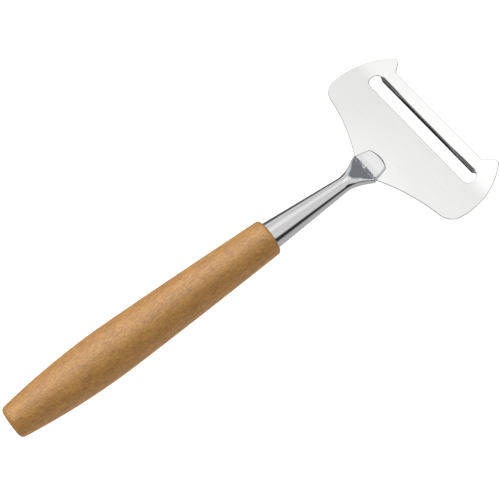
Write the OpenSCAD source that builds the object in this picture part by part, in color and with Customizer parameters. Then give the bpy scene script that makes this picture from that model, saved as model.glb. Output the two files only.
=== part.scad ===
// Cheese slicer with a turned wooden handle, a hollow tapered steel shank
// and a thin slotted steel plate that is held in the flattened end of the shank.
// Lengths are in millimetres. The slicer points along +X, +Y is its left side and +Z is up.
// The origin lies under the middle of the whole slicer, at the height of the handle's lowest line.

/* [Handle] */
// Length of the wooden handle
handle_length = 139.5; // [110:0.5:175]
// Diameter at the butt end, before its edge is rounded
butt_diameter = 15.4; // [10:0.1:22]
// Diameter at the fullest place
belly_diameter = 23.3; // [20:0.1:32]
// Distance from the butt end to the fullest place
belly_distance = 52; // [25:0.5:70]
// Wood left around the bore at the front end
front_wall = 2.05; // [1.2:0.05:4]
// Rounding of the butt edge
butt_round = 2.3; // [0.5:0.1:4]
// Rounding of the front edge
front_round = 1.6; // [0.3:0.1:1.8]
// How late the front taper starts to fall away, 1 is a straight cone
taper_power = 1.26; // [1.1:0.02:2]
// Depth of the bore that takes the shank
bore_depth = 42; // [25:1:60]

/* [Shank] */
// Diameter of the shank where it leaves the wood
shank_diameter = 13.2; // [10:0.1:16.1]
// Diameter at the neck, the thinnest place
neck_diameter = 7.4; // [5.5:0.1:9.5]
// Distance from the wood to the neck
neck_distance = 41.1; // [30:0.1:60]
// How far the shank's centre line drops from the wood to the neck
neck_drop = 1.5; // [0:0.1:3]
// Wall of the hollow shank
shank_wall = 1; // [0.6:0.1:1.4]
// Step down from the shank to the plug that sits in the bore
plug_step = 0.25; // [0.1:0.05:0.5]
// Room between the shank and the bore
glue_gap = 0.15; // [0.05:0.05:0.4]
// Distance from the wood's front face back to the glue
glue_recess = 1.5; // [0.5:0.1:4]

/* [Shank end] */
// Thickness of each of the two steel layers that clasp the plate
layer_thickness = 1.1; // [0.6:0.1:1.6]
// Distance from the neck to the widest place of the flattened end
flare_length = 12.2; // [8:0.1:20]
// Distance from the neck to the end of the slope that runs down to the flat face
slope_length = 14; // [8:0.1:20]
// Width of the flattened end at its widest place
pad_back_width = 17; // [12:0.1:22]
// Width of the flattened end at its front corners
pad_front_width = 12.4; // [9:0.1:18]
// Distance from the widest place to the front corners
pad_length = 8.2; // [5:0.1:14]
// How far the front edge bulges past its corners
pad_bow = 1.4; // [0:0.1:3]
// Rounding of the flattened end's corners
pad_round = 0.9; // [0.3:0.1:1.5]

/* [Plate] */
// Thickness of the plate
plate_thickness = 0.8; // [0.6:0.1:1.6]
// Distance from the handle's centre line down to the plate's upper face
plate_drop = 1.3; // [0.5:0.1:4]
// Width of the plate at its widest place
plate_width = 93.8; // [80:0.2:115]
// Distance from the neck to the plate's widest place
widest_distance = 35.2; // [32:0.1:42]
// Distance from the neck to the rear of the plate's back corners
shoulder_distance = 23.4; // [20:0.1:28]
// Distance from the neck to the straight front edge
front_distance = 55.4; // [54:0.1:66]
// How far the horns reach past the front edge
horn_length = 4.8; // [1:0.1:8]
// Width of the blunt tip of a horn
horn_tip = 2.4; // [1.5:0.1:4]
// Sideways run of a horn's inner edge
horn_slant = 3.9; // [1:0.1:8]
// Radius of the curved sides
side_radius = 35.3; // [30:0.1:46]
// Radius of the back corners
shoulder_radius = 8; // [3:0.1:12]
// Radius of the hollow curves from the back corners to the shank
back_radius = 98; // [60:1:200]
// Rounding of the horn tips
tip_round = 0.6; // [0.2:0.1:1.1]
// Upward angle of the front strip
front_lift = 4; // [0:0.5:6]

/* [Slot and cutting lip] */
// Distance from the neck to the slot's rear edge
slot_distance = 42.1; // [38:0.1:46]
// Length of the slot across the plate
slot_length = 72.4; // [50:0.2:78]
// Width of the slot from its rear edge to the lip's root
slot_width = 7; // [6.8:0.1:9]
// Radius of the slot's corners
slot_radius = 3.2; // [1:0.1:3.3]
// Length of the cutting lip
lip_length = 69; // [40:0.2:72]
// How far the lip leans back over the slot
lip_reach = 0.8; // [0.5:0.1:2.5]
// How far the cutting edge drops below the plate's upper face
lip_drop = 1.8; // [1.6:0.1:3.5]
// Length over which the lip fades out at each end
lip_fade = 5; // [1:0.5:12]

/* [Hidden] */

wood_colour = [0.78, 0.6, 0.4];
glue_colour = [0.86, 0.8, 0.62];
steel_colour = [0.78, 0.79, 0.8];
weld_colour = [0.6, 0.61, 0.62];

// Steps in one rounded edge, in one long curve and around one circle
round_steps = 8;
curve_steps = 28;
circle_steps = 96;
// Extra length that lets a cut run past a face
past = 1;

// Handle
butt_radius = butt_diameter / 2;
belly_radius = belly_diameter / 2;
shank_radius = shank_diameter / 2;
bore_radius = shank_radius + glue_gap;
front_radius = bore_radius + front_wall;
front_fillet = min(front_round, 0.85 * front_wall);

// Shank, with its end a little short of the bore's bottom
neck_radius = neck_diameter / 2;
plug_radius = shank_radius - plug_step;
bore_end_gap = 2;
plug_length = bore_depth - bore_end_gap;
shank_tilt = atan(neck_drop / neck_distance);
taper_length = neck_distance / cos(shank_tilt);
neck_x = handle_length + neck_distance;

// Flattened end
pad_back_x = neck_x + flare_length;
pad_front_x = pad_back_x + pad_length;
pad_half_height = layer_thickness + plate_thickness / 2;
plate_top = -plate_drop;
plate_bottom = plate_top - plate_thickness;
plate_mid = plate_top - plate_thickness / 2;
flare_rings = 14;
pad_rings = 5;
ring_sides = 60;
// Rounding of the flattened end's long edges
pad_edge = 0.35;
// How far its pressed sides bulge out at mid height
pad_bulge = 0.08;
// How softly its sides turn from the flare into the pad
pad_softness = 0.8;
// How late the slope falls away, 1 is an even curve
slope_power = 1.25;
// The flare is this much wider than the taper where the two meet
flare_lap = 0.05;
// Angles from the top of a ring where its flat face and its rounded edge end
flat_angle = 60;
edge_angle = 84;

// Tongue of the plate inside the flattened end
tongue_end_x = neck_x + 0.64 * flare_length;
tongue_end_half = 0.58 * pad_back_width / 2;
tongue_root = [pad_back_x + 0.5, 0.84 * pad_back_width / 2];

// Spot welds, side by side in the tongue
weld_radius = 1.3;
weld_spacing = 6;
weld_depth = 0.5 * layer_thickness;
weld_x = pad_back_x + 0.45 * pad_length;

// Plate outline
plate_half = plate_width / 2;
side_centre = [neck_x + widest_distance, plate_half - side_radius];
front_x = neck_x + front_distance;
horn_x = front_x + horn_length;
shoulder_x = neck_x + shoulder_distance + shoulder_radius;
shoulder_reach = side_radius - shoulder_radius;
shoulder_side = shoulder_x - side_centre.x;
shoulder_centre = [shoulder_x, side_centre.y + sqrt(shoulder_reach ^ 2 - shoulder_side ^ 2)];
back_centre = touching_centre(tongue_root, shoulder_centre, shoulder_radius, back_radius);

// Slot, lip and the bend in front of which the plate lifts
slot_rear_x = neck_x + slot_distance;
slot_front_x = slot_rear_x + slot_width;
edge_flat = 0.06;
// The lip's root is sunk this far into the sheet, and stays this far inside its faces
lip_root = 0.9;
lip_skin = 0.08;
bend_x = slot_rear_x + slot_width / 2;
bend_top_x = bend_x - plate_thickness * tan(front_lift / 2);

total_length = horn_x;

function unit(v) = v / norm(v);
function heading(v) = atan2(v.y, v.x);
function turn(v, a) = [v.x * cos(a) - v.y * sin(a), v.x * sin(a) + v.y * cos(a)];
function smooth(t) = t * t * (3 - 2 * t);
function mix(a, b, t) = a + (b - a) * t;
function mirrored(points) = [for (i = [len(points) - 1:-1:0]) [points[i].x, -points[i].y]];

// Points on an arc, ends included
function arc(centre, r, from, to, steps) =
    [for (i = [0:steps]) centre + r * [cos(mix(from, to, i / steps)), sin(mix(from, to, i / steps))]];

// Arc of radius r that rounds the corner at b between a and c
function fillet(a, b, c, r) =
    let (u = unit(a - b), v = unit(c - b))
    let (half = acos(u * v) / 2)
    let (centre = b + unit(u + v) * r / sin(half))
    let (from = heading(b + u * r / tan(half) - centre))
    let (swing = heading(b + v * r / tan(half) - centre) - from)
    let (short = swing > 180 ? swing - 360 : (swing < -180 ? swing + 360 : swing))
    arc(centre, r, from, from + short, round_steps);

// Centre of a circle of radius r through point p that touches a circle from outside
function touching_centre(p, centre, centre_radius, r) =
    let (d = norm(centre - p))
    let (swing = acos((r * r + d * d - (r + centre_radius) ^ 2) / (2 * r * d)))
    p + r * turn(unit(centre - p), swing);

// Radius of the wood at a distance x from the butt end
function wood_radius(x) =
    x < belly_distance
        ? belly_radius - (belly_radius - butt_radius) * ((belly_distance - x) / belly_distance) ^ 2
        : belly_radius - (belly_radius - front_radius)
            * ((x - belly_distance) / (handle_length - belly_distance)) ^ taper_power;

// Slope of the wood at its two ends, as angles
butt_slope = atan(2 * (belly_radius - butt_radius) / belly_distance);
front_slope = atan(taper_power * (belly_radius - front_radius) / (handle_length - belly_distance));

// The smaller of two values, with a soft change from one to the other
function soft_min(a, b, softness) = (a + b - sqrt((a - b) ^ 2 + softness ^ 2)) / 2;

// Half width of the shank's end at a distance x from the neck
function end_half_width(x) =
    let (start = neck_radius + flare_lap, widest = pad_back_width / 2, front = pad_front_width / 2)
    let (flare = start + (widest - start) * (x / flare_length) ^ 2)
    let (pad = mix(widest, front, (x - flare_length) / pad_length))
    let (into_corner = max(0, x - flare_length - pad_length + pad_round))
    soft_min(flare, pad, pad_softness * min(1, x / flare_length))
        - pad_round + sqrt(pad_round ^ 2 - into_corner ^ 2);

// Point of the pad's section, as shares of its half width and half height, at an angle from its top
function pad_section(angle, half_width) =
    let (across = pad_edge / half_width, down = pad_edge / pad_half_height)
    let (bulge = pad_bulge / half_width)
    let (side_share = (90 - angle) / (90 - edge_angle))
    let (turned_by = 90 * (angle - flat_angle) / (edge_angle - flat_angle))
    angle < flat_angle
        ? [(1 - bulge - across) * angle / flat_angle, 1]
        : angle <= edge_angle
            ? [1 - bulge - across + across * sin(turned_by), 1 - down + down * cos(turned_by)]
            : [1 - bulge * side_share, (1 - down) * side_share];

// One ring of the shank's end, its section going from round to flat
function end_ring(x) =
    let (share = smooth(min(1, x / flare_length)))
    let (fall = smooth(min(1, max(0, x / slope_length) ^ slope_power)))
    let (half_width = end_half_width(max(0, x)))
    let (half_height = mix(neck_radius + flare_lap, pad_half_height, fall))
    let (middle = mix(-neck_drop, plate_mid, fall))
    let (bow = pad_bow * smooth(max(0, (x - flare_length) / pad_length)))
    [for (i = [0:ring_sides - 1])
        let (a = 360 * i / ring_sides)
        let (from_top = abs(a > 180 ? a - 270 : 90 - a))
        let (flat = pad_section(from_top, half_width))
        let (across = mix(abs(cos(a)), flat.x, share) * sign(cos(a)))
        let (up = mix(abs(sin(a)), flat.y, share) * sign(sin(a)))
        [neck_x + x + bow * (1 - across ^ 2), half_width * across, middle + half_height * up]];

// Left half of the plate's outline, from the tongue to the front edge
function plate_side() =
    let (back_from = heading(tongue_root - back_centre))
    let (back_to = heading(shoulder_centre - back_centre))
    let (shoulder_from = back_to + 180)
    let (shoulder_to = heading(shoulder_centre - side_centre))
    let (tip_outer_x = horn_x - 0.3)
    let (side_to = acos((tip_outer_x - side_centre.x) / side_radius))
    let (tip_outer = side_centre + side_radius * [cos(side_to), sin(side_to)])
    let (tip_inner = [horn_x, tip_outer.y - horn_tip])
    let (notch = [front_x, tip_inner.y - horn_slant])
    let (before_tip = side_centre + side_radius * [cos(side_to + 2), sin(side_to + 2)])
    concat(
        [[tongue_end_x, tongue_end_half]],
        arc(back_centre, back_radius, back_from, back_to, curve_steps),
        arc(shoulder_centre, shoulder_radius, shoulder_from, shoulder_to, curve_steps),
        arc(side_centre, side_radius, shoulder_to, side_to + 2, curve_steps),
        fillet(before_tip, tip_outer, tip_inner, tip_round),
        fillet(tip_outer, tip_inner, notch, tip_round),
        [notch]);

// Moves a piece from the handle's centre line to the slicer's origin
module placed() {
    translate([-total_length / 2, 0, belly_radius])
        children();
}

// Turns a profile of [distance, radius] points around the X axis
module turned(points) {
    rotate([0, 90, 0])
        rotate_extrude($fn = circle_steps)
            polygon([for (p = points) [p.y, p.x]]);
}

// A full cone or cylinder along X
module rod(x, length, start_radius, end_radius) {
    translate([x, 0, 0])
        rotate([0, 90, 0])
            cylinder(h = length, r1 = start_radius, r2 = end_radius, $fn = circle_steps);
}

// The tilted cone between the wood and the neck
module tilted_taper(start_radius, end_radius, length) {
    translate([handle_length, 0, 0])
        rotate([0, shank_tilt, 0])
            rod(0, length, start_radius, end_radius);
}

// Wood turned to a slim pear shape
module handle_blank() {
    butt_end_x = butt_round * (1 - sin(butt_slope));
    butt_centre = [butt_round, wood_radius(butt_end_x) - butt_round * cos(butt_slope)];
    front_end_x = handle_length - front_fillet * (1 - sin(front_slope));
    front_centre = [handle_length - front_fillet, wood_radius(front_end_x) - front_fillet * cos(front_slope)];
    turned(concat(
        [[0, 0]],
        arc(butt_centre, butt_round, 180, 90 + butt_slope, round_steps),
        [for (i = [1:curve_steps - 1])
            let (x = mix(butt_end_x, front_end_x, i / curve_steps))
            [x, wood_radius(x)]],
        arc(front_centre, front_fillet, 90 - front_slope, 0, round_steps),
        [[handle_length, 0]]));
}

// End of the shank: a flare from the round neck to the flat pad whose two layers clasp the plate
module clasping_end() {
    // A short stub buries the end of the taper in the flare
    stub = -0.3;
    corner_start = flare_length + pad_length - pad_round;
    places = concat(
        [stub],
        [for (i = [0:flare_rings]) flare_length * i / flare_rings],
        [for (i = [1:pad_rings]) mix(flare_length, corner_start, i / pad_rings)],
        [for (i = [1:pad_rings]) corner_start + pad_round * sin(90 * i / pad_rings)]);
    count = len(places);
    half = ring_sides / 2;
    last = (count - 1) * ring_sides;
    polyhedron(
        points = [for (x = places) each end_ring(x)],
        faces = concat(
            [[for (i = [0:ring_sides - 1]) i]],
            [for (k = [0:count - 2]) for (i = [0:ring_sides - 1])
                let (j = (i + 1) % ring_sides, here = k * ring_sides, next = here + ring_sides)
                each [[here + i, next + i, next + j], [here + i, next + j, here + j]]],
            [for (i = [0:half - 1])
                let (j = (ring_sides - i) % ring_sides)
                i == 0
                    ? [last, last + ring_sides - 1, last + 1]
                    : i == half - 1
                        ? [last + i, last + j, last + half]
                        : [last + i, last + j, last + j - 1, last + i + 1]]));
}

// Flat outline of the plate with its tongue
module plate_outline() {
    side = plate_side();
    polygon(concat(side, mirrored(side)));
}

// Slot with rounded corners
module slot_outline() {
    rear = slot_rear_x;
    front = slot_front_x;
    y = slot_length / 2;
    corner = [
        [[rear, 0], [rear, y], [front, y]],
        [[rear, y], [front, y], [front, 0]]];
    side = [for (c = corner) each fillet(c[0], c[1], c[2], slot_radius)];
    polygon(concat(side, mirrored(side)));
}

// Part of the flat sheet between two distances, without the slot
module flat_sheet(from_x, to_x) {
    translate([0, 0, plate_bottom])
        linear_extrude(plate_thickness)
            intersection() {
                plate_outline();
                translate([from_x, -plate_width])
                    square([to_x - from_x, 2 * plate_width]);
            }
}

// The whole sheet with its slot, flat behind the bend and lifted in front of it
module bent_sheet() {
    far_x = horn_x + past;
    rise = tan(front_lift);
    height = plate_thickness + (far_x - bend_x) * rise + 2 * past;
    intersection() {
        translate([0, 0, plate_bottom - past])
            linear_extrude(height)
                difference() {
                    plate_outline();
                    slot_outline();
                }
        rotate([90, 0, 0])
            linear_extrude(2 * plate_width, center = true)
                polygon([
                    [neck_x, plate_bottom],
                    [bend_x, plate_bottom],
                    [far_x, plate_bottom + (far_x - bend_x) * rise],
                    [far_x, plate_top + (far_x - bend_top_x) * rise],
                    [bend_top_x, plate_top],
                    [neck_x, plate_top]]);
    }
}

// Tilts the lip with the front strip, about the bend line in the plate's lower face
module lifted() {
    translate([bend_x, 0, plate_bottom])
        rotate([0, -front_lift, 0])
            translate([-bend_x, 0, -plate_bottom])
                children();
}

// Lip pressed down into the slot and ground to a cutting edge that faces the handle
module cutting_lip() {
    edge_x = slot_front_x - lip_reach;
    edge_z = plate_top - lip_drop;
    root_x = slot_front_x + lip_root;
    half = lip_length / 2;
    intersection() {
        translate([0, half, 0])
            rotate([90, 0, 0])
                linear_extrude(lip_length)
                    polygon([
                        [root_x, plate_top - lip_skin],
                        [slot_front_x + lip_skin, plate_top - lip_skin],
                        [edge_x, edge_z + edge_flat],
                        [edge_x, edge_z],
                        [root_x, plate_bottom + lip_skin]]);
        translate([edge_x - past, 0, 0])
            rotate([90, 0, 90])
                linear_extrude(lip_reach + lip_root + 2 * past)
                    polygon([
                        [half, plate_top + past],
                        [half, plate_bottom],
                        [half - lip_fade, edge_z - past],
                        [lip_fade - half, edge_z - past],
                        [-half, plate_bottom],
                        [-half, plate_top + past]]);
    }
}

// Weld nuggets, which go through the plate and partly into both layers
module nuggets() {
    for (side = [-1, 1])
        translate([weld_x, side * weld_spacing / 2, plate_bottom - weld_depth])
            cylinder(h = plate_thickness + 2 * weld_depth, r = weld_radius, $fn = circle_steps);
}

// Turned wooden handle with a blind bore in its front end
module wood_handle() {
    color(wood_colour)
        placed()
            difference() {
                handle_blank();
                rod(handle_length - bore_depth, bore_depth + past, bore_radius, bore_radius);
            }
}

// Thin sleeve of cured glue around the plug inside the bore
module adhesive_sleeve() {
    sleeve_start = handle_length - plug_length;
    sleeve_length = plug_length - glue_recess;
    color(glue_colour)
        placed()
            difference() {
                rod(sleeve_start, sleeve_length, bore_radius, bore_radius);
                rod(sleeve_start - past, sleeve_length + 2 * past, plug_radius, plug_radius);
            }
}

// Hollow shank: a straight plug in the bore, a slim taper, a flare and a flat clasping end
module steel_shank() {
    plug_start = handle_length - plug_length;
    // The plug runs a little way into the tilted taper
    lap = 0.6;
    inner_plug_radius = plug_radius - shank_wall;
    inner_shank_radius = shank_radius - shank_wall;
    inner_neck_radius = neck_radius - shank_wall;
    color(steel_colour)
        placed()
            difference() {
                union() {
                    rod(plug_start, plug_length + lap, plug_radius, plug_radius);
                    tilted_taper(shank_radius, neck_radius, taper_length);
                    clasping_end();
                }
                rod(plug_start - past, plug_length + past + lap, inner_plug_radius, inner_plug_radius);
                tilted_taper(inner_shank_radius, inner_neck_radius, taper_length - past);
                flat_sheet(tongue_end_x - past, pad_front_x + pad_bow + past);
                nuggets();
            }
}

// Spot welds that join the plate's tongue to both layers
module spot_welds() {
    color(weld_colour)
        placed()
            nuggets();
}

// Slotted plate with its cutting lip
module slicer_plate() {
    color(steel_colour)
        placed()
            difference() {
                union() {
                    bent_sheet();
                    lifted()
                        cutting_lip();
                }
                nuggets();
            }
}

wood_handle();
adhesive_sleeve();
steel_shank();
spot_welds();
slicer_plate();
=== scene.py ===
"""Looks for the cheese slicer: turned beech handle, polished steel shank and slotted plate."""
import bpy, bmesh
from functools import partial
from math import acos, atan, atan2, copysign, cos, pi, radians, sin, sqrt, tan
from mathutils import Matrix, Vector
from mathutils.geometry import delaunay_2d_cdt


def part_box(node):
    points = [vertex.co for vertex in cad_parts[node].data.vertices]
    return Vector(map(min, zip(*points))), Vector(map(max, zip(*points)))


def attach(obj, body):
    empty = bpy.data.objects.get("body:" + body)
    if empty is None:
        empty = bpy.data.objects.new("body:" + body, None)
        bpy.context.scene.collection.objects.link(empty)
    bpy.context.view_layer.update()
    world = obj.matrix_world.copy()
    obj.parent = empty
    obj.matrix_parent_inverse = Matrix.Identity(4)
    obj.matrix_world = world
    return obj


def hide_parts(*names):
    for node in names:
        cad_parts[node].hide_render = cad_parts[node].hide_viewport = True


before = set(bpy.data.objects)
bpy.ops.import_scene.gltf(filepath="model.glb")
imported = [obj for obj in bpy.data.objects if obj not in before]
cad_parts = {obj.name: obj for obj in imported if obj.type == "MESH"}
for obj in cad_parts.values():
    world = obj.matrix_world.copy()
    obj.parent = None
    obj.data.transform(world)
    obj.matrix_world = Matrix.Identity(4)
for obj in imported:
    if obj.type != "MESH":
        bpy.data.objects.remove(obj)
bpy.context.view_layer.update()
MM = 0.001

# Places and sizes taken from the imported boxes: x runs forward, y to the left and z up
HANDLE_LOW, HANDLE_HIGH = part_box("wood_handle")
BUTT_X = HANDLE_LOW.x
WOOD_END_X = HANDLE_HIGH.x
HANDLE_LENGTH = WOOD_END_X - BUTT_X
BELLY_RADIUS = (HANDLE_HIGH.z - HANDLE_LOW.z) / 2
AXIS_Z = (HANDLE_HIGH.z + HANDLE_LOW.z) / 2
PLATE_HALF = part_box("slicer_plate")[1].y

# Handle
BUTT_RADIUS = 7.7 * MM
BELLY_DISTANCE = 52 * MM
BORE_RADIUS = 6.75 * MM
BORE_DEPTH = 42 * MM
BORE_CHAMFER = 0.15 * MM
FRONT_RADIUS = BORE_RADIUS + 2.05 * MM
BUTT_ROUND = 2.3 * MM
FRONT_ROUND = 1.6 * MM
TAPER_POWER = 1.26
CENTRE_SHARE = 0.02

# Shank: the plug inside the wood is a hair thinner than the taper, which leans down to the neck
SHANK_RADIUS = 6.6 * MM
PLUG_GAP = 0.02 * MM
PLUG_SHOWN = 6 * MM
NECK_RADIUS = 3.7 * MM
NECK_DISTANCE = 41.1 * MM
NECK_DROP = 1.5 * MM
NECK_X = WOOD_END_X + NECK_DISTANCE

# Flattened end of the shank: it flares behind, then narrows as a pad with a bowed front edge
FLARE_LENGTH = 12.2 * MM
SLOPE_LENGTH = 14 * MM
SLOPE_POWER = 1.25
PAD_BACK_HALF = 8.5 * MM
PAD_FRONT_HALF = 6.2 * MM
PAD_LENGTH = 8.2 * MM
PAD_BOW = 1.4 * MM
PAD_ROUND = 0.9 * MM
PAD_EDGE = 1 * MM
PAD_FRONT_EDGE = 0.8 * MM
PAD_BULGE = 0.08 * MM
PAD_SOFTNESS = 0.8 * MM
LAYER = 1.1 * MM

# Plate
SHEET = 0.8 * MM
PLATE_TOP = AXIS_Z - 1.3 * MM
PLATE_MID = PLATE_TOP - SHEET / 2
PAD_HALF_HEIGHT = LAYER + SHEET / 2
WIDEST_X = NECK_X + 35.2 * MM
SIDE_RADIUS = 35.3 * MM
SHOULDER_RADIUS = 8 * MM
SHOULDER_X = NECK_X + 23.4 * MM + SHOULDER_RADIUS
BACK_RADIUS = 98 * MM
TONGUE_REAR = Vector((NECK_X + 0.64 * FLARE_LENGTH, 0.58 * PAD_BACK_HALF))
TONGUE_ROOT = Vector((NECK_X + FLARE_LENGTH + 0.5 * MM, 0.84 * PAD_BACK_HALF))
FRONT_X = NECK_X + 55.4 * MM
FRONT_LIFT = radians(4)
RIM_ROUND = 0.28 * MM

# Horns at the plate's front corners, and the corner of the recess between them
HORN_X = FRONT_X + 4.77 * MM
HORN_LEAN = 0.3 * MM
HORN_TIP = 2.4 * MM
HORN_SLANT = 3.9 * MM
HORN_LEAD = radians(2)
TIP_ROUND = 0.6 * MM
NOTCH_ROUND = 0.4 * MM

# Slot and lip: the front part of the plate is lifted from a soft bend along the slot's middle
SLOT_REAR_X = NECK_X + 42.1 * MM
SLOT_FRONT_X = SLOT_REAR_X + 7 * MM
SLOT_HALF = 36.2 * MM
SLOT_RADIUS = 3.2 * MM
SLOT_STRAIGHT = SLOT_HALF - SLOT_RADIUS
BEND_X = (SLOT_REAR_X + SLOT_FRONT_X) / 2
BEND_SOFTNESS = 3 * MM
LIP_REACH = 0.8 * MM
LIP_DROP = 1.8 * MM
LIP_TOP_SHARE = 0.97
LIP_CURVE = 1.15
LIP_HALF = 34.5 * MM
LIP_ROOT_MIDDLE = 0.4 * MM
LIP_ROOT_ENDS = 0.9 * MM
LIP_ROOT_CHANGE = 14 * MM
LIP_FADE = 2.8 * MM
LEAN_WIDTH = 1.5 * MM

# Fineness of the surfaces
HANDLE_SIDES = 160
HANDLE_STEPS = 120
SHANK_SIDES = 180
SHANK_STEPS = 60
STRAIGHT_STEPS = 60
ROW_GAP = 1.5 * MM
RIM_CLEARANCE = 1.2 * MM
LIP_STEP = 0.25 * MM

# Studio
FLOOR_HALF = 3.0
FLOOR_GLOW = 0.35
TENT_LEVEL = 0.88
REAR_LEVEL = 0.13
LEAST_LEVEL = 0.04
FRONT_TINT = (0.88, 0.93, 1.0)
SENSOR_WIDTH = 36
LENS = 93.6


def mix(a, b, t):
    return a + (b - a) * t


def smooth(t):
    t = min(1, max(0, t))
    return t * t * (3 - 2 * t)


# ---------------------------------------------------------------- materials

def new_material(name):
    material = bpy.data.materials.new(name)
    material.use_nodes = True
    tree = material.node_tree
    return material, tree, tree.nodes["Principled BSDF"]


def add(tree, kind, **values):
    """A new node with its properties set, or its sockets, whose spaces are written as underscores."""
    node = tree.nodes.new(kind)
    for key, value in values.items():
        if hasattr(node, key):
            setattr(node, key, value)
        else:
            node.inputs[key.replace("_", " ")].default_value = value
    return node


def axes(tree, kind):
    """The x, y and z of one kind of texture coordinate."""
    place = add(tree, "ShaderNodeTexCoord")
    split = add(tree, "ShaderNodeSeparateXYZ")
    tree.links.new(place.outputs[kind], split.inputs["Vector"])
    return (split.outputs[axis] for axis in "XYZ")


def noise(tree, scale, detail=3.0, roughness=0.6, distortion=0.0):
    """Noise over object coordinates in metres, scaled separately along each axis."""
    place = add(tree, "ShaderNodeTexCoord")
    mapping = add(tree, "ShaderNodeMapping", Scale=scale)
    tree.links.new(place.outputs["Object"], mapping.inputs["Vector"])
    node = add(tree, "ShaderNodeTexNoise",
               Scale=1.0, Detail=detail, Roughness=roughness, Distortion=distortion)
    tree.links.new(mapping.outputs["Vector"], node.inputs["Vector"])
    return node.outputs["Fac"]


def ramp(tree, factor, stops):
    """Colour ramp from (position, colour) stops; a plain number is a grey."""
    node = add(tree, "ShaderNodeValToRGB")
    elements = node.color_ramp.elements
    while len(elements) < len(stops):
        elements.new(0.5)
    for element, (position, colour) in zip(elements, stops):
        element.position = position
        rgb = (colour,) * 3 if isinstance(colour, (int, float)) else colour
        element.color = (*rgb, 1)
    tree.links.new(factor, node.inputs["Fac"])
    return node.outputs["Color"]


def band(tree, source, low, high, before=0, after=1):
    """A value that goes smoothly from one level to another as its source passes two limits."""
    node = add(tree, "ShaderNodeMapRange", interpolation_type="SMOOTHSTEP",
               From_Min=low, From_Max=high, To_Min=before, To_Max=after)
    tree.links.new(source, node.inputs["Value"])
    return node.outputs["Result"]


def blend_colours(tree, mode, amount, first, second):
    node = add(tree, "ShaderNodeMix", data_type="RGBA", blend_type=mode)
    for socket, value in ((node.inputs[0], amount), (node.inputs[6], first), (node.inputs[7], second)):
        if isinstance(value, (int, float)):
            socket.default_value = value
        elif isinstance(value, tuple):
            socket.default_value = (*value, 1)
        else:
            tree.links.new(value, socket)
    return node.outputs[2]


def bump(tree, height, strength, distance, shader):
    node = add(tree, "ShaderNodeBump", Strength=strength, Distance=distance)
    tree.links.new(height, node.inputs["Height"])
    tree.links.new(node.outputs["Normal"], shader.inputs["Normal"])


def beech_material():
    """Oiled beech: warm tan with a soft figure, and darker flecks, streaks and pores along the grain."""
    material, tree, shader = new_material("oiled_beech")
    figure = noise(tree, (110, 230, 230), roughness=0.55, distortion=0.6)
    tones = ((0.25, (0.365, 0.172, 0.021)), (0.5, (0.421, 0.203, 0.026)), (0.75, (0.478, 0.236, 0.034)))
    base = ramp(tree, figure, tones)
    flecks = noise(tree, (560, 2000, 2000), detail=4.0, roughness=0.75, distortion=0.5)
    fleck_mask = ramp(tree, flecks, ((0.42, 0.0), (0.62, 1.0)))
    flecked = blend_colours(tree, "MULTIPLY", fleck_mask, base, (0.64, 0.54, 0.40))
    streaks = noise(tree, (140, 1100, 1100))
    streak_mask = ramp(tree, streaks, ((0.45, 0.0), (0.65, 0.6)))
    streaked = blend_colours(tree, "MULTIPLY", streak_mask, flecked, (0.78, 0.70, 0.58))
    pores = noise(tree, (900, 3000, 3000), detail=2.0)
    pore_mask = ramp(tree, pores, ((0.54, 0.0), (0.70, 0.6)))
    coloured = blend_colours(tree, "MULTIPLY", pore_mask, streaked, (0.68, 0.56, 0.42))
    tree.links.new(coloured, shader.inputs["Base Color"])
    gloss = ramp(tree, flecks, ((0.3, 0.52), (0.7, 0.62)))
    tree.links.new(gloss, shader.inputs["Roughness"])
    shader.inputs["Specular IOR Level"].default_value = 0.6
    shader.inputs["Sheen Weight"].default_value = 0.08
    shader.inputs["Sheen Roughness"].default_value = 0.5
    bump(tree, flecks, 0.2, 0.12 * MM, shader)
    return material


def press_marks(tree):
    """Small uneven dents where the tube was pressed from round to flat."""
    x, _, _ = axes(tree, "Object")
    dents = noise(tree, (260, 420, 300))
    started = blend_colours(tree, "MULTIPLY", 1.0, dents, band(tree, x, NECK_X, NECK_X + 5 * MM))
    ended = band(tree, x, NECK_X + SLOPE_LENGTH - 2 * MM, NECK_X + SLOPE_LENGTH + 2 * MM)
    return blend_colours(tree, "MIX", ended, started, (0.0, 0.0, 0.0))


def polished_steel():
    """Mirror-polished steel with very faint haze and hairlines along the shank."""
    material, tree, shader = new_material("polished_steel")
    hairlines = noise(tree, (40, 2600, 2600))
    tone = ramp(tree, hairlines, ((0.35, (0.63, 0.63, 0.63)), (0.65, (0.65, 0.65, 0.648))))
    tree.links.new(tone, shader.inputs["Base Color"])
    gloss = ramp(tree, hairlines, ((0.3, 0.04), (0.7, 0.06)))
    tree.links.new(gloss, shader.inputs["Roughness"])
    shader.inputs["Metallic"].default_value = 1
    bump(tree, press_marks(tree), 1.0, 0.3 * MM, shader)
    return material


def plate_steel():
    """Rolled and lightly polished sheet: soft haze with a fine grain across the plate."""
    material, tree, shader = new_material("plate_steel")
    grain = noise(tree, (2400, 60, 300))
    cloud = noise(tree, (22, 22, 22), detail=2.0, roughness=0.5)
    tone = ramp(tree, cloud, ((0.3, (0.71, 0.708, 0.697)), (0.7, (0.745, 0.743, 0.732))))
    grained = blend_colours(tree, "MULTIPLY", 0.10, tone, grain)
    tree.links.new(grained, shader.inputs["Base Color"])
    gloss = ramp(tree, grain, ((0.3, 0.10), (0.7, 0.15)))
    tree.links.new(gloss, shader.inputs["Roughness"])
    shader.inputs["Metallic"].default_value = 1
    bump(tree, grain, 0.015, 0.02 * MM, shader)
    return material


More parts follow.
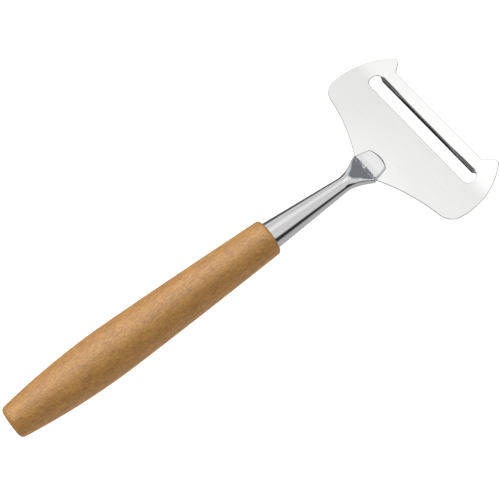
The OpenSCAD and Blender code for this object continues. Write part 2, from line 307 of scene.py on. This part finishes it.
def cured_glue():
    """Amber glue, hidden in the bore."""
    material, tree, shader = new_material("cured_glue")
    cloud = noise(tree, (600, 600, 600), roughness=0.55)
    tone = ramp(tree, cloud, ((0.3, (0.62, 0.52, 0.32)), (0.7, (0.74, 0.64, 0.42))))
    tree.links.new(tone, shader.inputs["Base Color"])
    shader.inputs["Roughness"].default_value = 0.6
    return material


def weld_steel():
    """Dull heat-stained steel, hidden between the shank's two layers."""
    material, tree, shader = new_material("weld_steel")
    heat = noise(tree, (900, 900, 900), roughness=0.55)
    tone = ramp(tree, heat, ((0.3, (0.36, 0.34, 0.33)), (0.7, (0.55, 0.54, 0.53))))
    tree.links.new(tone, shader.inputs["Base Color"])
    shader.inputs["Metallic"].default_value = 1
    shader.inputs["Roughness"].default_value = 0.45
    return material


# ---------------------------------------------------------------- meshes

def make_object(name, vertices, faces, material):
    mesh = bpy.data.meshes.new(name)
    mesh.from_pydata([tuple(v) for v in vertices], [], faces)
    mesh.validate()
    work = bmesh.new()
    work.from_mesh(mesh)
    bmesh.ops.recalc_face_normals(work, faces=work.faces)
    work.to_mesh(mesh)
    work.free()
    mesh.materials.append(material)
    piece = bpy.data.objects.new(name, mesh)
    bpy.context.scene.collection.objects.link(piece)
    mesh.shade_smooth()
    return piece


def round_edges(piece, pairs, width):
    """Rounds the edges between the given pairs of vertices, and leaves all other edges as they are."""
    mesh = piece.data
    weight = mesh.attributes.new("bevel_weight_edge", "FLOAT", "EDGE")
    for edge in mesh.edges:
        if frozenset(edge.vertices) in pairs:
            weight.data[edge.index].value = 1.0
    rounding = piece.modifiers.new("edge_rounding", "BEVEL")
    rounding.width = width
    rounding.segments = 3
    rounding.limit_method = "WEIGHT"
    rounding.harden_normals = True
    rounding.use_clamp_overlap = False


def circle(x, r, middle, sides):
    """Ring of points around the slicer's length, with its middle at a height."""
    turns = [2 * pi * i / sides for i in range(sides)]
    return [(x, r * cos(a), middle + r * sin(a)) for a in turns]


def loft(rings):
    """Vertices and quads of an open tube through rings of the same count."""
    count = len(rings[0])
    vertices = [p for ring in rings for p in ring]
    faces = []
    for k in range(len(rings) - 1):
        for i in range(count):
            j = (i + 1) % count
            faces.append((k * count + i, (k + 1) * count + i, (k + 1) * count + j, k * count + j))
    return vertices, faces


def heading(v):
    return atan2(v.y, v.x)


def direction(angle):
    return Vector((cos(angle), sin(angle)))


def arc(centre, r, start, end, steps):
    return [centre + r * direction(mix(start, end, i / steps)) for i in range(steps + 1)]


def fillet(a, b, c, r, steps=8):
    """Arc that rounds the corner at b between a and c."""
    u, v = (a - b).normalized(), (c - b).normalized()
    half = acos(u.dot(v)) / 2
    centre = b + (u + v).normalized() * r / sin(half)
    reach = r / tan(half)
    start = heading(b + u * reach - centre)
    swing = heading(b + v * reach - centre) - start
    swing -= 2 * pi * round(swing / (2 * pi))
    return arc(centre, r, start, start + swing, steps)


def run_in(x, y, steps):
    """Points of a straight edge across the plate, from just inside its left end to its middle."""
    return [Vector((x, y * (1 - i / steps))) for i in range(1, steps + 1)]


def with_mirror(left):
    """An outline whose left half ends on the middle line, completed by its mirror image."""
    return left + [Vector((p.x, -p.y)) for p in reversed(left[:-1])]


def inside(p, polygon):
    hit = False
    for a, b in zip(polygon, polygon[1:] + polygon[:1]):
        if (a.y > p.y) != (b.y > p.y) and p.x < a.x + (b.x - a.x) * (p.y - a.y) / (b.y - a.y):
            hit = not hit
    return hit


# ---------------------------------------------------------------- handle

def wood_radius(x):
    """Radius of the wood at a distance x from the butt end."""
    if x < BELLY_DISTANCE:
        return BELLY_RADIUS - (BELLY_RADIUS - BUTT_RADIUS) * ((BELLY_DISTANCE - x) / BELLY_DISTANCE) ** 2
    share = (x - BELLY_DISTANCE) / (HANDLE_LENGTH - BELLY_DISTANCE)
    return BELLY_RADIUS - (BELLY_RADIUS - FRONT_RADIUS) * share ** TAPER_POWER


def wood_profile():
    """Distance and radius of each ring, from the butt's middle over the outside to the bore's bottom."""
    butt_slope = atan(2 * (BELLY_RADIUS - BUTT_RADIUS) / BELLY_DISTANCE)
    front_slope = atan(TAPER_POWER * (BELLY_RADIUS - FRONT_RADIUS) / (HANDLE_LENGTH - BELLY_DISTANCE))
    butt_end = BUTT_ROUND * (1 - sin(butt_slope))
    front_end = HANDLE_LENGTH - FRONT_ROUND * (1 - sin(front_slope))
    butt_inner = wood_radius(butt_end) - BUTT_ROUND * cos(butt_slope)
    front_inner = wood_radius(front_end) - FRONT_ROUND * cos(front_slope)
    butt_centre = Vector((BUTT_ROUND, butt_inner))
    front_centre = Vector((HANDLE_LENGTH - FRONT_ROUND, front_inner))
    profile = [(0, butt_inner * share) for share in (CENTRE_SHARE, 0.3, 0.6, 0.85)]
    profile += arc(butt_centre, BUTT_ROUND, pi, pi / 2 + butt_slope, 10)
    for i in range(1, HANDLE_STEPS):
        x = mix(butt_end, front_end, i / HANDLE_STEPS)
        profile.append((x, wood_radius(x)))
    profile += arc(front_centre, FRONT_ROUND, pi / 2 - front_slope, 0, 10)
    profile.append((HANDLE_LENGTH, BORE_RADIUS + BORE_CHAMFER))
    profile.append((HANDLE_LENGTH - BORE_CHAMFER, BORE_RADIUS))
    profile.append((HANDLE_LENGTH - BORE_DEPTH, BORE_RADIUS))
    profile.append((HANDLE_LENGTH - BORE_DEPTH, CENTRE_SHARE * BORE_RADIUS))
    return profile


def build_handle(material):
    """Turned handle with its blind bore, as one closed surface."""
    vertices, faces = loft([circle(BUTT_X + x, r, AXIS_Z, HANDLE_SIDES) for x, r in wood_profile()])
    last = len(vertices) - 1
    faces.append(tuple(range(HANDLE_SIDES)))
    faces.append(tuple(range(last, last - HANDLE_SIDES, -1)))
    piece = make_object("turned_handle", vertices, faces, material)
    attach(piece, "root")
    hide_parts("wood_handle")
    return piece


# ---------------------------------------------------------------- shank

def soft_min(a, b, softness):
    return (a + b - sqrt((a - b) ** 2 + softness ** 2)) / 2


def end_half_width(x):
    """Half width of the shank's end at a distance x from the neck."""
    flare = NECK_RADIUS + (PAD_BACK_HALF - NECK_RADIUS) * (x / FLARE_LENGTH) ** 2
    pad = mix(PAD_BACK_HALF, PAD_FRONT_HALF, (x - FLARE_LENGTH) / PAD_LENGTH)
    into_corner = max(0, x - FLARE_LENGTH - PAD_LENGTH + PAD_ROUND)
    softness = PAD_SOFTNESS * min(1, x / FLARE_LENGTH)
    return soft_min(flare, pad, softness) - PAD_ROUND + sqrt(max(0, PAD_ROUND ** 2 - into_corner ** 2))


def pad_section(angle, half_width):
    """Point of the flat section, as shares of its half width and height, at an angle from its top."""
    flat_end, edge_end = 60, 84
    across, down, bulge = PAD_EDGE / half_width, PAD_EDGE / PAD_HALF_HEIGHT, PAD_BULGE / half_width
    if angle < flat_end:
        return (1 - bulge - across) * angle / flat_end, 1
    if angle <= edge_end:
        a = pi / 2 * (angle - flat_end) / (edge_end - flat_end)
        return 1 - bulge - across + across * sin(a), 1 - down + down * cos(a)
    share = (90 - angle) / (90 - edge_end)
    return 1 - bulge * share, (1 - down) * share


def end_ring(x):
    """Ring of the shank's end at a distance x from the neck, going from round to flat."""
    flatness = smooth(x / FLARE_LENGTH)
    fall = smooth(min(1, (x / SLOPE_LENGTH) ** SLOPE_POWER))
    half_width = end_half_width(x)
    half_height = mix(NECK_RADIUS, PAD_HALF_HEIGHT, fall)
    into_edge = max(0, x - FLARE_LENGTH - PAD_LENGTH + PAD_FRONT_EDGE)
    half_height -= PAD_FRONT_EDGE - sqrt(max(0, PAD_FRONT_EDGE ** 2 - into_edge ** 2))
    middle = mix(AXIS_Z - NECK_DROP, PLATE_MID, fall)
    bow = PAD_BOW * smooth((x - FLARE_LENGTH) / PAD_LENGTH)
    ring = []
    for i in range(SHANK_SIDES):
        a = 360 * i / SHANK_SIDES
        from_top = abs(a - 270) if a > 180 else abs(90 - a)
        flat_y, flat_z = pad_section(from_top, half_width)
        c, s = cos(radians(a)), sin(radians(a))
        y = copysign(mix(abs(c), flat_y, flatness), c)
        z = copysign(mix(abs(s), flat_z, flatness), s)
        ring.append((NECK_X + x + bow * (1 - y * y), half_width * y, middle + half_height * z))
    return ring


def taper_ring(x):
    """Ring of the tilted taper at a distance x from the wood; behind the wood it runs straight."""
    share = x / NECK_DISTANCE
    r = mix(SHANK_RADIUS, NECK_RADIUS, share) if x > 0 else SHANK_RADIUS - PLUG_GAP
    return circle(WOOD_END_X + x, r, AXIS_Z - NECK_DROP * max(0, share), SHANK_SIDES)


def build_shank(material):
    """Polished shank from inside the bore to the clasping pad, as one smooth closed surface."""
    corner = FLARE_LENGTH + PAD_LENGTH - PAD_ROUND
    rings = [taper_ring(x) for x in (-PLUG_SHOWN, -PLUG_SHOWN / 2, -0.5 * MM)]
    rings += [taper_ring(NECK_DISTANCE * i / SHANK_STEPS) for i in range(SHANK_STEPS)]
    rings += [end_ring(FLARE_LENGTH * i / SHANK_STEPS) for i in range(SHANK_STEPS + 1)]
    rings += [end_ring(mix(FLARE_LENGTH, corner, i / 20)) for i in range(1, 21)]
    rings += [end_ring(corner + PAD_ROUND * sin(pi / 2 * i / 8)) for i in range(1, 9)]
    vertices, faces = loft(rings)
    faces.append(tuple(range(SHANK_SIDES)))
    last = len(vertices) - SHANK_SIDES
    half = SHANK_SIDES // 2
    for i in range(1, half - 1):
        j = SHANK_SIDES - i
        faces.append((last + i, last + j, last + j - 1, last + i + 1))
    faces.append((last, last + SHANK_SIDES - 1, last + 1))
    faces.append((last + half - 1, last + half + 1, last + half))
    piece = make_object("tapered_shank", vertices, faces, material)
    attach(piece, "root")
    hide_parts("steel_shank")


# ---------------------------------------------------------------- plate

def back_centre(shoulder):
    """Centre of the hollow back edge, which starts at the tongue's root and touches the shoulder's arc."""
    to_shoulder = shoulder - TONGUE_ROOT
    d = to_shoulder.length
    far = BACK_RADIUS + SHOULDER_RADIUS
    swing = acos((BACK_RADIUS ** 2 + d * d - far ** 2) / (2 * BACK_RADIUS * d))
    return TONGUE_ROOT + Matrix.Rotation(swing, 2) @ to_shoulder.normalized() * BACK_RADIUS


def horn(side, tip_at):
    """Left horn, from the end of the side's arc over its blunt tip and down to the recess."""
    before = side + SIDE_RADIUS * direction(tip_at + HORN_LEAD)
    outer = side + SIDE_RADIUS * direction(tip_at)
    inner = Vector((HORN_X, outer.y - HORN_TIP))
    notch = Vector((FRONT_X, inner.y - HORN_SLANT))
    points = fillet(before, outer, inner, TIP_ROUND)
    points += fillet(outer, inner, notch, TIP_ROUND)
    points += fillet(inner, notch, Vector((FRONT_X, 0)), NOTCH_ROUND, 4)
    return points + run_in(FRONT_X, notch.y, 30)


def plate_outline():
    """Outline of the plate, from the tongue's left side round the front to its right side."""
    side = Vector((WIDEST_X, PLATE_HALF - SIDE_RADIUS))
    reach = SIDE_RADIUS - SHOULDER_RADIUS
    shoulder = Vector((SHOULDER_X, side.y + sqrt(reach ** 2 - (SHOULDER_X - WIDEST_X) ** 2)))
    back = back_centre(shoulder)
    back_to = heading(shoulder - back)
    shoulder_to = heading(shoulder - side)
    tip_at = acos((HORN_X - HORN_LEAN - WIDEST_X) / SIDE_RADIUS)
    left = [TONGUE_REAR]
    left += arc(back, BACK_RADIUS, heading(TONGUE_ROOT - back), back_to, 60)
    left += arc(shoulder, SHOULDER_RADIUS, back_to + pi, shoulder_to, 40)[1:]
    left += arc(side, SIDE_RADIUS, shoulder_to, tip_at + HORN_LEAD, 60)[1:]
    left += horn(side, tip_at)
    return with_mirror(left)


def lip_share(y):
    """How far the lip is pressed down at a place across the plate, 0 at its ends and 1 along most of it."""
    return smooth((LIP_HALF - abs(y)) / LIP_FADE)


def lip_root(y):
    """How far in front of the slot the lip's slope starts; further near its two ends."""
    return mix(LIP_ROOT_MIDDLE, LIP_ROOT_ENDS, smooth((abs(y) - LIP_ROOT_CHANGE) / LIP_ROOT_CHANGE))


def slot_outline():
    """Outline of the opening seen from above: the lip leans back over the slot's front edge."""
    rear_left, front_left = Vector((SLOT_REAR_X, SLOT_HALF)), Vector((SLOT_FRONT_X, SLOT_HALF))
    left = fillet(Vector((SLOT_REAR_X, 0)), rear_left, front_left, SLOT_RADIUS, 12)
    left += fillet(rear_left, front_left, Vector((SLOT_FRONT_X, 0)), SLOT_RADIUS, 12)
    left += run_in(SLOT_FRONT_X, SLOT_STRAIGHT, STRAIGHT_STEPS)
    leaned = []
    for p in with_mirror(left):
        lean = LIP_REACH * lip_share(p.y) * smooth((p.x - SLOT_FRONT_X + LEAN_WIDTH) / LEAN_WIDTH)
        leaned.append(Vector((p.x - lean, p.y)))
    across = [mix(-SLOT_STRAIGHT, SLOT_STRAIGHT, i / STRAIGHT_STEPS) for i in range(1, STRAIGHT_STEPS)]
    return leaned + [Vector((SLOT_REAR_X, y)) for y in across]


def bend_points(outline, slot):
    """Rows of points that carry the soft bend, kept clear of the rims."""
    across = int(PLATE_HALF / MM)
    points = []
    for row in range(-3, 4):
        for i in range(-across, across + 1):
            p = Vector((BEND_X + row * ROW_GAP, i * MM))
            clear = min((p - q).length for q in outline + slot) > RIM_CLEARANCE
            if clear and inside(p, outline) and not inside(p, slot):
                points.append(p)
    return points


def lip_points():
    """Rows of points from just behind the lip's edge to the start of its slope."""
    across = round(SLOT_HALF / LIP_STEP)
    points = []
    for row in range(2, 7):
        for i in range(-across, across + 1):
            y = i * LIP_STEP
            x = mix(SLOT_FRONT_X - LIP_REACH * lip_share(y), SLOT_FRONT_X + lip_root(y), row / 6)
            if abs(y) < SLOT_STRAIGHT:
                points.append(Vector((x, y)))
    return points


def sheet_heights(p):
    """Heights of the plate's two faces at a place seen from above."""
    lift = max(0.0, p.x - BEND_X)
    if abs(p.x - BEND_X) < BEND_SOFTNESS:
        lift = (p.x - BEND_X + BEND_SOFTNESS) ** 2 / (4 * BEND_SOFTNESS)
    rise = lift * tan(FRONT_LIFT)
    root_x = SLOT_FRONT_X + lip_root(p.y)
    share = lip_share(p.y) if SLOT_REAR_X + 2 * MM < p.x < root_x else 0.0
    down = min(1, max(0, (root_x - p.x) / (lip_root(p.y) + LIP_REACH)))
    fall = share * down ** LIP_CURVE
    top = PLATE_TOP + rise - LIP_DROP * fall * LIP_TOP_SHARE
    bottom = PLATE_TOP - SHEET + rise - (LIP_DROP - SHEET) * fall
    return top, bottom


def closed_edges(start, count):
    """Pairs of neighbours around one closed outline."""
    return [(start + i, start + (i + 1) % count) for i in range(count)]


def cut_sheet():
    """Places and triangles of the sheet between its outline and the slot, seen from above."""
    outline, slot = plate_outline(), slot_outline()
    points = outline + slot + bend_points(outline, slot) + lip_points()
    edges = closed_edges(0, len(outline)) + closed_edges(len(outline), len(slot))
    places, _, triangles, _, _, _ = delaunay_2d_cdt(points, edges, [], 0, 1e-7)
    kept = []
    for corners in triangles:
        middle = sum((places[i] for i in corners), Vector((0, 0))) / 3
        if inside(middle, outline) and not inside(middle, slot):
            kept.append(corners)
    used = sorted({i for corners in kept for i in corners})
    number = {old: new for new, old in enumerate(used)}
    return [places[i] for i in used], [tuple(number[i] for i in corners) for corners in kept]


def open_edges(triangles):
    """Edges that belong to one triangle only."""
    edges = [edge for a, b, c in triangles for edge in ((a, b), (b, c), (c, a))]
    known = set(edges)
    return [(a, b) for a, b in edges if (b, a) not in known]


def build_plate(material):
    """Stamped plate as one thin shell, with rounded rims except along the lip."""
    places, triangles = cut_sheet()
    count = len(places)
    heights = [sheet_heights(p) for p in places]
    thick = [top - bottom > 0.9 * SHEET for top, bottom in heights]
    vertices = [(p.x, p.y, top) for p, (top, _) in zip(places, heights)]
    vertices += [(p.x, p.y, bottom) for p, (_, bottom) in zip(places, heights)]
    faces = []
    for a, b, c in triangles:
        faces.append((a, b, c))
        faces.append((c + count, b + count, a + count))
    rounded = set()
    for a, b in open_edges(triangles):
        faces.append((b, a, a + count, b + count))
        if thick[a] and thick[b]:
            rounded |= {frozenset((a, b)), frozenset((a + count, b + count))}
    piece = make_object("slotted_plate", vertices, faces, material)
    round_edges(piece, rounded, RIM_ROUND)
    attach(piece, "root")
    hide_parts("slicer_plate")


# ---------------------------------------------------------------- hidden pieces

def dress(node, material):
    """Gives a node of the CAD model its material."""
    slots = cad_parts[node].data.materials
    slots.clear()
    slots.append(material)


# ---------------------------------------------------------------- studio

def build_floor():
    """Matt white floor with a faint glow, which the steel does not mirror."""
    mesh = bpy.data.meshes.new("studio_floor")
    corners = [(FLOOR_HALF * x, FLOOR_HALF * y, 0) for x, y in ((-1, -1), (1, -1), (1, 1), (-1, 1))]
    mesh.from_pydata(corners, [], [(0, 1, 2, 3)])
    floor = bpy.data.objects.new("studio_floor", mesh)
    bpy.context.scene.collection.objects.link(floor)
    material, _, shader = new_material("white_floor")
    shader.inputs["Base Color"].default_value = (0.9, 0.9, 0.9, 1)
    shader.inputs["Roughness"].default_value = 0.9
    shader.inputs["Specular IOR Level"].default_value = 0.1
    shader.inputs["Emission Color"].default_value = (1, 1, 1, 1)
    shader.inputs["Emission Strength"].default_value = FLOOR_GLOW
    mesh.materials.append(material)
    floor.visible_glossy = False


def combine(tree, operation, first, *others):
    """One operation carried through a run of numbers or sockets."""
    for other in others:
        node = add(tree, "ShaderNodeMath", operation=operation)
        for socket, value in zip(node.inputs, (first, other)):
            if isinstance(value, (int, float)):
                socket.default_value = value
            else:
                tree.links.new(value, socket)
        first = node.outputs[0]
    return first


def build_world():
    """Surround by direction: a bright tent above, dim in front, behind and far to the right."""
    world = bpy.data.worlds.new("studio")
    bpy.context.scene.world = world
    world.use_nodes = True
    tree = world.node_tree
    background = tree.nodes["Background"]
    x, y, z = axes(tree, "Generated")
    level = partial(band, tree)
    times = partial(combine, tree, "MULTIPLY")
    plus = partial(combine, tree, "ADD")
    minus = partial(combine, tree, "SUBTRACT")
    ahead = times(level(x, 0.42, 0.50), level(y, -0.50, -0.35))
    behind = level(x, -0.75, -0.55, 1, 0)
    canvas = times(level(y, -0.92, -0.82), minus(1, plus(ahead, behind)))
    glow_across = times(level(y, -0.15, 0.08), level(y, 0.36, 0.72, 1.15, -0.4), level(y, 0.74, 0.86, 1, 0))
    glow_along = times(level(x, 0.195, 0.235, 0.51, 0.38), level(x, 0.25, 0.30, 1, 0.6))
    glow = times(glow_across, glow_along)
    tent = times(canvas, plus(glow, TENT_LEVEL), level(z, 0.0, 0.3, 0.6, 1))
    front = times(ahead, level(z, 0.15, 0.45, 0.02, 0.26))
    above = plus(tent, front, times(behind, REAR_LEVEL), LEAST_LEVEL)
    ends = times(level(x, 0.42, 0.60, 1, 0.3), level(x, -0.75, -0.55, 0.3, 1))
    below = times(level(z, -0.42, 0.0, 0.62, 0.03), ends, level(y, 0.0, 0.3, 1, 0.35))
    upward = level(z, -0.02, 0.02)
    strength = plus(times(above, upward), times(below, minus(1, upward)))
    tint = ramp(tree, ahead, ((0.0, 1.0), (1.0, FRONT_TINT)))
    tree.links.new(tint, background.inputs["Color"])
    tree.links.new(strength, background.inputs["Strength"])


def add_sun(name, towards, strength, spread, gloss_of=None):
    """Broad distant light without shadows: it lights everything, or only makes one piece glossy."""
    light = bpy.data.lights.new(name, "SUN")
    light.angle = radians(spread)
    light.energy = strength
    light.use_shadow = False
    lamp = bpy.data.objects.new(name, light)
    bpy.context.scene.collection.objects.link(lamp)
    lamp.rotation_euler = Vector(towards).to_track_quat("Z", "Y").to_euler()
    lamp.visible_glossy = gloss_of is not None
    lamp.visible_diffuse = gloss_of is None
    if gloss_of:
        only = bpy.data.collections.new(name + "_receivers")
        only.objects.link(gloss_of)
        lamp.light_linking.receiver_collection = only


def build_camera():
    """Camera above and to the right of the slicer, with the handle rising across the frame."""
    place = Vector((-79.523, -245.424, 528.323)) * MM
    forward = Vector((0.151657, 0.424441, -0.892665)).normalized()
    up = Vector((0.58062, 0.692621, 0.427968))
    right = forward.cross(up).normalized()
    up = right.cross(forward)
    camera = bpy.data.cameras.new("camera")
    camera.sensor_width = SENSOR_WIDTH
    camera.lens = LENS
    holder = bpy.data.objects.new("camera", camera)
    bpy.context.scene.collection.objects.link(holder)
    turn = Matrix((right, up, -forward)).transposed()
    holder.matrix_world = Matrix.Translation(place) @ turn.to_4x4()
    bpy.context.scene.camera = holder


handle = build_handle(beech_material())
build_shank(polished_steel())
build_plate(plate_steel())
dress("adhesive_sleeve", cured_glue())
dress("spot_welds", weld_steel())
build_floor()
build_world()
add_sun("window_side", towards=(-0.15, 0.62, 0.77), strength=2.0, spread=40)
add_sun("window_gloss", towards=(0.05, 0.42, 0.9), strength=4.5, spread=80, gloss_of=handle)
build_camera()
bpy.context.scene.view_settings.view_transform = "Standard"
